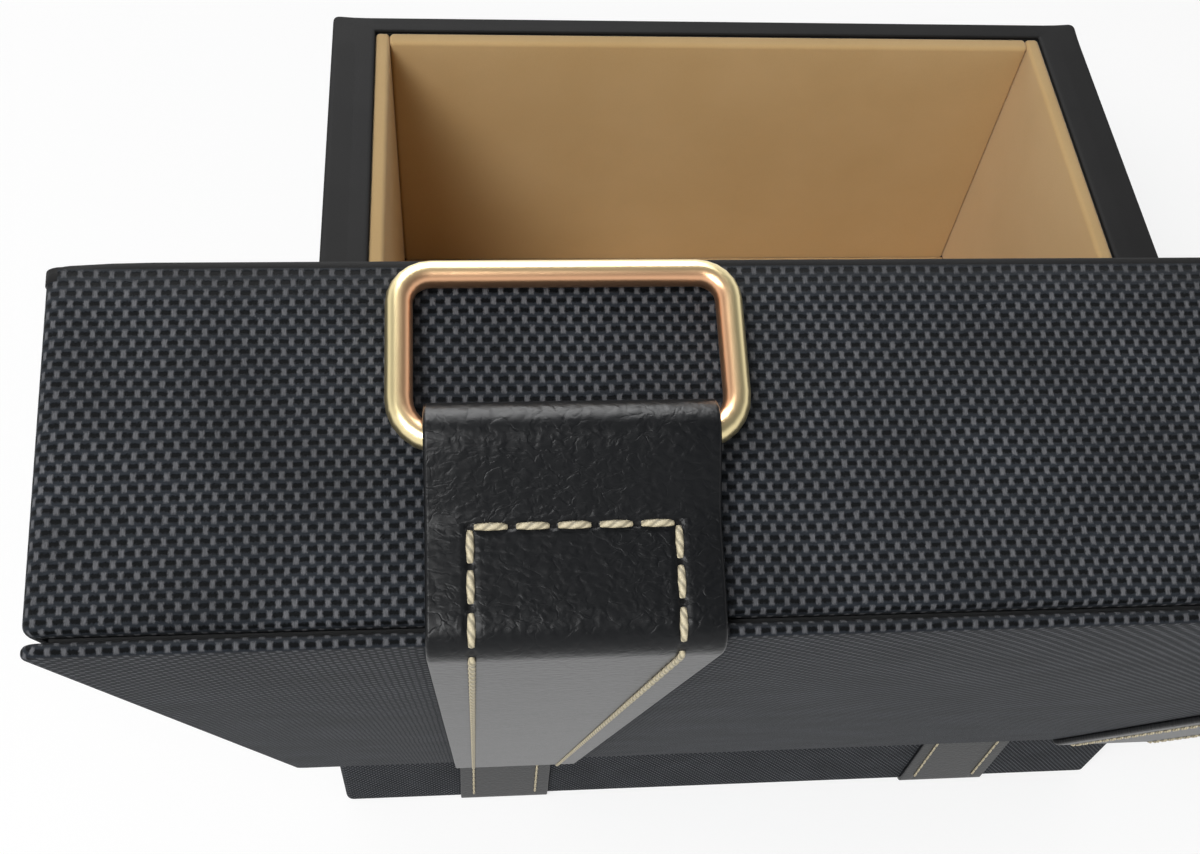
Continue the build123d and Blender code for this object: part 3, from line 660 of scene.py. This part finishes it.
def lid_covers():
    """One cloth round the lid's four walls, rolled over into the shadow groove, and the covered
    top panel with its softly turned edge."""
    top = lid_wall_high[2] + CLOTH / 2
    line = [(CLOTH, lid_wall_low[2]), (CLOTH, top), (-GROOVE_DEPTH, top)]
    line = rounded_path(line, GROOVE_TURN, COVER_STEP)
    half = [(0, -LID_DEPTH), (HALF_WIDTH, -LID_DEPTH), (HALF_WIDTH, 0)]
    outline, normals = cut_outline(half, CORNER, COVER_STEP)
    shape = skin(outline, normals, folded(line, CLOTH), lid_place)
    add_piece("lid_cover", shape, "lid", WOVEN)
    low, high = panel_low[2], panel_high[2]
    edge = [(-FLAT_REACH, low), (CLOTH, low), (CLOTH, high), (-FLAT_REACH, high)]
    profile = rounded_path(edge, PANEL_TURN, FINE_STEP)
    shape = slab(outline, normals, profile, lid_place)
    add_piece("lid_top_cover", shape, "lid", WOVEN, ["lid_panel"])


body_cover()
lid_covers()

# Leatherette round the two rims, left out where the hinge leaves lie
EAR_HEIGHT = 0.85 * MM
EAR_RECESS = 0.6 * MM
EAR_REACH = 13 * MM
LEAF_ROOM = 0.4 * MM
INNER_CORNER = 0.5 * MM
LONG_PARTS = [20, 50, 60, 50, 20]
SHORT_PARTS = [12]
# A share of the way across the band, and a share of its height
RIM_ROWS = [(-0.03, -1.4), (-0.03, 0.35), (-0.018, 0.75), (0.02, 1.0), (0.1, 1.0), (0.5, 1.0)]
RIM_ROWS += [(0.9, 1.0), (0.965, 0.9), (0.995, 0.6), (1.0, 0.1), (1.0, -0.4), (0.5, -0.4), (0, -1.4)]


def rim_band(y_front, y_back, base, top, ear_height, place, name, body, replaced):
    """Bands between an outer and an inner path, with the rows of the rim across them: a long band
    round the sides and the front, and a short one between the hinges. At the body's four outer
    corners the folded leatherette stands up in small ears, by the square of the nearness, and the
    lid's corners are pressed in to clear them."""
    leaf_low, leaf_high = node_box("case_hinge_leaf_right")
    near = leaf_low[0] - LEAF_ROOM
    far = leaf_high[0] + LEAF_ROOM
    wall = front_high[1] - front_low[1]
    rows = np.array(RIM_ROWS)
    upper = rows[:, 1] > 0.5
    long_paths, short_paths = [], []
    for x, front, back in ((HALF_WIDTH, y_front, y_back), (wall_inside, y_front + wall, y_back - wall)):
        long_paths.append(mirrored([(far, back), (x, back), (x, front)]))
        short_paths.append([(near, back), (-near, back)])
    surfaces = []
    for (outer, inner), parts in ((long_paths, LONG_PARTS), (short_paths, SHORT_PARTS)):
        outside = rounded_path(outer, CORNER, 1, parts)
        within = rounded_path(inner, INNER_CORNER, 1, parts)
        share = rows[None, :, :1]
        flat = outside[:, None] * (1 - share) + within[:, None] * share
        height = np.broadcast_to(base + (top - base) * rows[None, :, 1], flat.shape[:2]).copy()
        for corner_x in (-HALF_WIDTH, HALF_WIDTH):
            for corner_y in (y_front, y_back):
                away = np.linalg.norm(flat - np.array([corner_x, corner_y]), axis=2)
                ear = np.clip(1 - away / EAR_REACH, 0, 1) ** 2
                height += ear_height * ear * upper
        points = place(np.concatenate([flat, height[..., None]], 2))
        surfaces.append(surface(points, flat, wrap_columns=True, caps=True))
    add_piece(name, joined(surfaces), body, LEATHERETTE, [replaced])


case_rim = (-HALF_DEPTH, HALF_DEPTH, rim_low[2], rim_high[2], EAR_HEIGHT)
rim_band(*case_rim, case_place, "rim_band", "case", "rim_trim")
lid_rim_low, lid_rim_high = node_box("lid_rim_trim", True)
lid_rim = (-LID_DEPTH, 0, lid_rim_high[2], lid_rim_low[2], EAR_RECESS)
rim_band(*lid_rim, lid_place, "lid_rim_band", "lid", "lid_rim_trim")


# Padded lining of the compartment and of the lid, and the drawer's pad
LIP_EDGE = 1.7 * MM
BOARD_EDGE = 0.7 * MM
LIP_CROWN = 0.35 * MM
FLOOR_CROWN = 0.2 * MM


def soft_board(name, body, edge, crown=(0, 0, 0)):
    """A lining board that keeps its node's box, with soft edges and a slight crown on its face."""
    in_lid = body == "lid"
    place = lid_place if in_lid else case_place
    shape = padded_board(*node_box(name, in_lid), edge, place, crown)
    add_piece("soft_" + name, shape, body, SUEDE, [name])


for name in ("left_lining", "right_lining"):
    soft_board(name, "case", LIP_EDGE, (LIP_CROWN, 0, 0))
for name in ("front_lining", "back_lining"):
    soft_board(name, "case", LIP_EDGE, (0, LIP_CROWN, 0))
soft_board("floor_pad", "case", BOARD_EDGE, (0, 0, FLOOR_CROWN))
for name in ("lid_left_lining", "lid_right_lining", "lid_front_lining", "lid_back_lining", "lid_pad"):
    soft_board(name, "lid", BOARD_EDGE)
soft_board("drawer_pad", "drawer", BOARD_EDGE)

# Felt under the base board
FELT_ROOM = 0.8 * MM
FELT_CORNER = 1 * MM
FELT_TURN = 0.4


def base_felt():
    """Thin pressed felt glued under the base board, cut out round the tucked ends of the straps.
    Each row is the cut outline drawn in by the worked edge."""
    low, high = node_box("base_pad")
    reach = STRAP_WIDTH / 2 + FELT_ROOM
    end = strap_low[1] - FELT_ROOM
    near, far = STRAP_CENTRE - reach, STRAP_CENTRE + reach
    half = [(0, low[1]), (high[0], low[1]), (high[0], high[1])]
    half += [(far, high[1]), (far, end), (near, end), (near, high[1])]
    outline, normals = cut_outline(half, FELT_CORNER, WIDE_STEP)
    edge = [(-FELT_CORNER, low[2]), (0, low[2]), (0, high[2]), (-FELT_CORNER, high[2])]
    profile = rounded_path(edge, FELT_TURN * (high[2] - low[2]), FINE_STEP)
    flat = outline[None] + normals[None] * profile[:, None, :1]
    heights = np.broadcast_to(profile[:, None, 1:], flat.shape[:2] + (1,))
    shape = surface(np.concatenate([flat, heights], 2), flat, wrap_columns=True, caps=True)
    add_piece("felt_foot", shape, "case", FELT, ["base_pad"])


base_felt()

# Straps, from the fold round each ring over the lid, and down the back to the underside
RING_PLAY = 0.07 * MM
FOLD_ROOM = 0.4 * MM
FOLD_JOIN = 33.4 * MM
UNDER_END = 43 * MM
STRAP_EDGE = 0.5 * MM
RING_WIDTH = 43 * MM
RING_HEIGHT = 24.4 * MM
RING_WIRE = 3.3 * MM
RING_CORNERS = [5 * MM, 3.8 * MM, 3.8 * MM, 5 * MM]
RING_REST_GAP = 0.2 * MM
FRONT_BEND = 2.4 * MM
BACK_BEND = 1.9 * MM
HINGE_REACH = 5 * MM
LID_STRAP_STEP = 0.9 * MM
STITCH_STOP = 8 * MM
BEND_PULL = 0.45
BEND_POINTS = 14
FOLD_POINTS = 40
UNDER_POINTS = 8
STRAP_TUCK = HALF_DEPTH - strap_low[1]


def fold_path(bar, face, join, wire, thickness, layer_top, room):
    """The way of a strap round a ring's bar, in (back, up): down beside the wall, round the bar
    and up again on top of itself."""
    radius = wire / 2 + RING_PLAY + room + thickness / 2
    lower = np.array([face - thickness / 2, join])
    upper = np.array([face - 1.5 * thickness, join])
    centre = np.array(bar) - room

    def tangent(point, side):
        """The angle at which a line from the point touches the circle."""
        away = point - centre
        return math.atan2(away[1], away[0]) + side * math.acos(radius / np.linalg.norm(away))

    start = tangent(lower, -1)
    end = tangent(upper, 1)
    angles = np.linspace(start, end - 2 * math.pi, FOLD_POINTS)
    arc = centre + radius * np.stack([np.cos(angles), np.sin(angles)], 1)
    under = np.linspace([face - thickness / 2, layer_top], lower, UNDER_POINTS)
    return np.concatenate([under, arc, upper[None]])


def smoothed(path, step, passes):
    """The path spaced evenly by the step and its kinks eased by averaging neighbours."""
    length = along(path)
    places = np.linspace(0, length[-1], max(2, round(length[-1] / step)))
    even = np.stack([np.interp(places, length, path[:, i]) for i in range(2)], 1)
    for _ in range(passes):
        even[1:-1] = (even[:-2] + 2 * even[1:-1] + even[2:]) / 4
    return even


def seam_distance(path):
    """How far along a strap its fold's seam lies: past the bar, where it is as high as the join."""
    points = (np.column_stack([np.zeros(len(path)), path]) - HINGE) @ LID_AXES.T
    lowest = np.argmin(np.where(points[:, 1] < -LID_DEPTH, points[:, 2], np.inf))
    at_seam = lowest + np.argmax(points[lowest:, 2] > FOLD_JOIN)
    return along(path)[at_seam]


def bend(start, start_way, end, end_way):
    """The short bend of a strap across the hinge: a cubic curve between two ends and ways."""
    pull = BEND_PULL * np.linalg.norm(end - start)
    t = np.linspace(0, 1, BEND_POINTS)[1:-1, None]
    first, second = start + unit(start_way) * pull, end - end_way * pull
    inner = 3 * (1 - t) ** 2 * t * first + 3 * (1 - t) * t**2 * second
    return (1 - t) ** 3 * start + inner + t**3 * end


WIRE_SIDES = 28
WIRE_STEP = 3 * MM


def wire_loop(bar, down, width, height, wire, corner):
    """A round wire carried along a rounded rectangle that hangs from its bar. Its texture turns
    from 0 on the outer side to 1 on the inner side, where the plating's painted reflection lies."""
    half, drop = (width - wire) / 2, height - wire
    corners = [(0, 0), (half, 0), (half, drop), (-half, drop), (-half, 0), (0, 0)]
    path = rounded_path(corners, corner, WIRE_STEP)[:-1]
    out = sideways(path, closed=True)
    across = np.array([1.0, 0, 0])
    normal = np.cross(across, down)
    turn = np.linspace(0, 2 * math.pi, WIRE_SIDES + 1)
    flat = path[:, :1] * across + path[:, 1:] * down
    outward = out[:, :1] * across + out[:, 1:] * down
    round_turn = turn[:-1, None]
    spokes = outward[:, None] * np.cos(round_turn) + normal * np.sin(round_turn)
    points = bar + flat[:, None] + spokes * wire / 2
    inner = (1 - np.cos(turn)) / 2
    travelled = along(path, True)
    uv = np.stack(np.broadcast_arrays(inner[None], travelled[:, None]), 2)
    return surface(points, uv, wrap_rows=True, wrap_columns=True)


# Stitches: short twisted rods that dip into the leather at both ends
STITCH_LENGTH = 4.0 * MM
ROD_ROWS = [-1, -0.93, -0.6, 0, 0.6, 0.93, 1]
ROD_SIDES = 8
PLY_SWELL = 0.08
PLY_TWIST = 5.0


def stitch_rods(places, ways, ups):
    """Rods along given ways: a rod's radius swells and thins with its two plies, and its ends sink
    along a steep curve under the leather."""
    turn = np.linspace(0, 2 * math.pi, ROD_SIDES + 1)[:-1]
    t_grid, turn_grid = np.meshgrid(ROD_ROWS, turn, indexing="ij")
    radius = THREAD_THICK / 2 * np.sqrt(np.clip(1.02 - t_grid**12, 0, 1))
    radius = radius * (1 + PLY_SWELL * np.cos(2 * turn_grid - PLY_TWIST * t_grid))
    lift = THREAD_THICK * (0.24 - 0.6 * t_grid**8) + radius * np.sin(turn_grid) * 0.8
    side = radius * np.cos(turn_grid)
    ahead = t_grid * STITCH_LENGTH / 2
    asides = np.cross(ups, ways)
    points = (
        places[:, None, None]
        + ways[:, None, None] * ahead[..., None]
        + ups[:, None, None] * lift[..., None]
        + asides[:, None, None] * side[..., None]
    )
    uv = np.stack([turn_grid * THREAD_THICK / 2, ahead], 2)
    return joined([surface(rod, uv, wrap_columns=True, caps=True) for rod in points])


def outer_face(path, places):
    """Points of a strap's outer face at travelled distances."""
    outer = path - sideways(path) * STRAP_THICK / 2
    return np.stack([np.interp(places, along(path), outer[:, i]) for i in range(2)], -1)


def stitch_line(path, centre, first, last):
    """Stitches along both sides of a strap's outer face, from one travelled distance to another."""
    places = np.arange(first + STITCH_PITCH / 2, last, STITCH_PITCH)
    ahead = outer_face(path, places + MM)
    behind = outer_face(path, places - MM)
    middle = (ahead + behind) / 2
    ways = (ahead - behind) / np.linalg.norm(ahead - behind, axis=1, keepdims=True)
    out = np.stack([-ways[:, 1], ways[:, 0]], 1)
    rods = []
    for side in (-1, 1):
        x = centre + side * STITCH_LINE
        points = np.column_stack([np.full(len(middle), x), middle])
        flat = np.zeros((len(middle), 1))
        rods.append(stitch_rods(points, np.hstack([flat, ways]), np.hstack([flat, out])))
    return joined(rods)


def stitch_row(path, centre, distance, count):
    """One row of stitches across the strap."""
    place = outer_face(path, distance)
    way = unit(outer_face(path, distance + MM) - place)
    out = np.array([0, -way[1], way[0]])
    x = centre - STITCH_LINE + (np.arange(count) + 0.5) * ROW_PITCH
    points = np.column_stack([x, np.full(count, place[0]), np.full(count, place[1])])
    ways = np.tile([1.0, 0, 0], (count, 1))
    return stitch_rods(points, ways, np.tile(out, (count, 1)))


def strap_line(bar):
    """The way of a strap in (back, up), from the fold round a bar over the lid, across the hinge
    and down the body's back to the underside."""
    fold = fold_path(bar[1:], -LID_DEPTH, FOLD_JOIN, RING_WIRE, STRAP_THICK, UNDER_END, FOLD_ROOM)
    half = STRAP_THICK / 2
    top = panel_high[2] + half
    over = [fold[-1], (-LID_DEPTH - 3 * half, top), (half, top), (half, HINGE_REACH)]
    over = rounded_path(over, [FRONT_BEND, BACK_BEND], FINE_STEP)
    lid_path = smoothed(np.concatenate([fold, over[1:]]), LID_STRAP_STEP, passes=3)
    lid_world = lid_place(np.column_stack([np.zeros(len(lid_path)), lid_path]))[:, 1:]
    back, bottom = HALF_DEPTH + half, strap_low[2] + half
    down = [(back, BODY_TOP - HINGE_REACH), (back, bottom), (strap_low[1], bottom)]
    down = rounded_path(down, [BACK_BEND], FINE_STEP)
    bridge = bend(lid_world[-1], lid_world[-1] - lid_world[-2], down[0], np.array([0, -1.0]))
    return np.concatenate([lid_world, bridge, down])


def stitched_strap(word, centre, bar):
    """One leather strap with its stitches, from the ring's fold to the underside of the box."""
    path = strap_line(bar)
    seam = seam_distance(path)
    shape = strap(path, centre, STRAP_WIDTH, STRAP_THICK, STRAP_EDGE, seam)
    nodes = [f"lid_strap_{word}", f"back_strap_{word}"]
    leather = add_piece(f"strap_{word}", shape, None, LEATHER, nodes)
    last = along(path)[-1] - (STRAP_TUCK + STITCH_STOP)
    rods = [stitch_row(path, centre, seam, ROW_STITCHES), stitch_line(path, centre, seam, last)]
    stitches = add_piece(f"stitches_{word}", joined(rods), None, THREAD)
    for crossing in (leather, stitches):
        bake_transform(crossing)


def strap_ring(word, bar):
    """The ring that a strap's fold holds. It hangs from its bar and leans on the lid's front."""
    reach = RING_HEIGHT - RING_WIRE
    stand_off = STRAP_THICK + RING_PLAY - RING_REST_GAP
    tilt = math.asin(stand_off / reach)
    down = LID_BACK * math.sin(tilt) - LID_UP * math.cos(tilt)
    shape = wire_loop(bar, down, RING_WIDTH, RING_HEIGHT, RING_WIRE, RING_CORNERS)
    add_piece(f"gold_ring_{word}", shape, f"ring_{word}", GOLD, [f"ring_{word}"])


for word, side in (("left", -1), ("right", 1)):
    ring_bar = np.array(joints[f"ring_{word}_swing"]["pos_m"])
    stitched_strap(word, side * STRAP_CENTRE, (ring_bar - HINGE) @ LID_AXES.T)
    strap_ring(word, ring_bar)


# Drawer: its woven front, the leather tab and the small ring
FRONT_ROUNDING = 1.1 * MM
TAB_ROOM = 0.2 * MM
TAB_THICK = 1.5 * MM
TAB_EDGE = 0.4 * MM
TAB_JOIN = 8 * MM
TAB_STEP = 0.7 * MM
SMALL_RING_CORNER = 2.4 * MM


def drawer():
    """The drawer's covered front with soft edges, and a short leather tab folded round a small
    ring."""
    low, high = node_box("drawer_front")
    front = padded_board(low, high, FRONT_ROUNDING)
    add_piece("drawer_front_cover", front, "drawer", WOVEN, ["drawer_front"])
    tab_low, tab_high = node_box("drawer_tab")
    ring_low, ring_high = node_box("drawer_ring")
    wire = ring_high[1] - ring_low[1]
    bar = np.array(joints["drawer_ring_swing"]["pos_m"])
    top = tab_high[2]
    path = fold_path(bar[1:], -HALF_DEPTH, top - TAB_JOIN, wire, TAB_THICK, top, TAB_ROOM)
    path = np.concatenate([path, [(-HALF_DEPTH - 1.5 * TAB_THICK, top)]])
    path = smoothed(path, TAB_STEP, passes=2)
    shape = strap(path, 0, tab_high[0] - tab_low[0], TAB_THICK, TAB_EDGE)
    add_piece("leather_tab", shape, "drawer", LEATHER, ["drawer_tab"])
    size = ring_high - ring_low
    shape = wire_loop(bar, np.array([0, 0, -1.0]), size[0], size[2], wire, SMALL_RING_CORNER)
    add_piece("gold_drawer_ring", shape, "drawer_ring", GOLD, ["drawer_ring"])


drawer()


# Stage, light and camera
SKY_TOP = 0.17
SKY_EDGE = 0.88
FLOOR_GLOW = 0.69
LIT_SPOT = (0, 0.05, 0.2)
SKY_BAND = (0.25, 0.7)
FLOOR_REACH = 30.0
# Name, place, side, power, and whether it lights more than gloss
LAMPS = (
    ("window", (1.6, 1.7, 3.1), 1.8, 100, True),
    ("front_light", (0.3, -1.1, 1.45), 1.3, 46, False),
)


def shown(tree):
    """1 for what the camera sees, straight or through gloss and glass, and 0 for lit surfaces."""
    ray = add(tree, "LightPath").outputs
    seen = {0: ray["Is Camera Ray"], 1: ray["Is Glossy Ray"]}
    seen = add(tree, "Math", seen, operation="MAXIMUM")
    return add(tree, "Math", {0: seen, 1: ray["Is Transmission Ray"]}, operation="MAXIMUM")


def pale_floor():
    """A wide pale floor that carries a light shadow."""
    material, tree, shader = new_finish(
        "pale_floor",
        Roughness=0.9,
        Specular_IOR_Level=0.0,
        Base_Color=tone("#A2A2A2"),
        Emission_Color=tone("#FFFFFF"),
    )
    glow = add(tree, "Math", {0: shown(tree), 1: FLOOR_GLOW}, operation="MULTIPLY")
    tree.links.new(glow.outputs[0], shader.inputs["Emission Strength"])
    mesh = bpy.data.meshes.new("floor")
    corners = [(x * FLOOR_REACH, y * FLOOR_REACH, 0) for x, y in ((-1, -1), (1, -1), (1, 1), (-1, 1))]
    mesh.from_pydata(corners, [], [(0, 1, 2, 3)])
    mesh.materials.append(material)
    floor = bpy.data.objects.new("floor", mesh)
    bpy.context.scene.collection.objects.link(floor)


def pale_sky():
    """A sky that is white at the horizon and darker overhead, by the height of the way."""
    world = bpy.data.worlds.new("pale_sky")
    bpy.context.scene.world = world
    world.use_nodes = True
    sky = world.node_tree
    way = add(sky, "SeparateXYZ", {0: add(sky, "TexCoord").outputs["Generated"]})
    glow = {"Value": way.outputs[2], 1: SKY_BAND[0], 2: SKY_BAND[1], 3: SKY_EDGE, 4: SKY_TOP}
    glow = add(sky, "MapRange", glow, interpolation_type="SMOOTHSTEP")
    sky.links.new(glow.outputs[0], sky.nodes["Background"].inputs["Strength"])
    sky.nodes["Background"].inputs["Color"].default_value = tone("#FFFFFF")


def placed(right, up, back, place):
    """The matrix of something at a place whose x, y and z point right, up and back."""
    columns = np.column_stack([right, up, back, place])
    return Matrix(np.vstack([columns, [0, 0, 0, 1]]).tolist())


def lamps():
    """Two soft square lamps that face the box: a window, and a front lamp that only gloss shows,
    for the light along the leather's folds and the wire."""
    for name, place, size, power, lights_all in LAMPS:
        lamp = bpy.data.lights.new(name, "AREA")
        lamp.size = size
        lamp.energy = power
        lit = bpy.data.objects.new(name, lamp)
        bpy.context.scene.collection.objects.link(lit)
        lit.visible_diffuse = lights_all
        back = unit(np.subtract(place, LIT_SPOT))
        right = unit(np.cross((0, 0, 1), back))
        lit.matrix_world = placed(right, np.cross(back, right), back, place)


IMAGE_WIDTH = 1200
FOCAL_PIXELS = 1406.8
CAMERA_PITCH = 0.9857
CAMERA_YAW = -0.065
CAMERA_ROLL = 0.069
CAMERA_PLACE = (0.10038, 0.31692, 0.54753)
SENSOR = 36.0
CLIP_START = 0.02


def camera():
    """The photograph's view: behind the box and above it, looking down over the open lid."""
    sin, cos = np.sin, np.cos
    pitch, yaw, roll = CAMERA_PITCH, CAMERA_YAW, CAMERA_ROLL
    about_x = np.array([[1, 0, 0], [0, cos(pitch), -sin(pitch)], [0, sin(pitch), cos(pitch)]])
    about_y = np.array([[cos(yaw), 0, sin(yaw)], [0, 1, 0], [-sin(yaw), 0, cos(yaw)]])
    about_z = np.array([[cos(roll), -sin(roll), 0], [sin(roll), cos(roll), 0], [0, 0, 1]])
    level = np.array([[-1, 0, 0], [0, 0, -1], [0, -1, 0]])
    right, down, ahead = about_x @ about_y @ about_z @ level
    lens = bpy.data.cameras.new("photograph_view")
    lens.sensor_width = SENSOR
    lens.lens = FOCAL_PIXELS / IMAGE_WIDTH * SENSOR
    lens.clip_start = CLIP_START
    view = bpy.data.objects.new("photograph_view", lens)
    bpy.context.scene.collection.objects.link(view)
    view.matrix_world = placed(right, -down, -ahead, CAMERA_PLACE)
    bpy.context.scene.camera = view


bpy.context.scene.view_settings.view_transform = "Standard"
pale_floor()
pale_sky()
lamps()
camera()
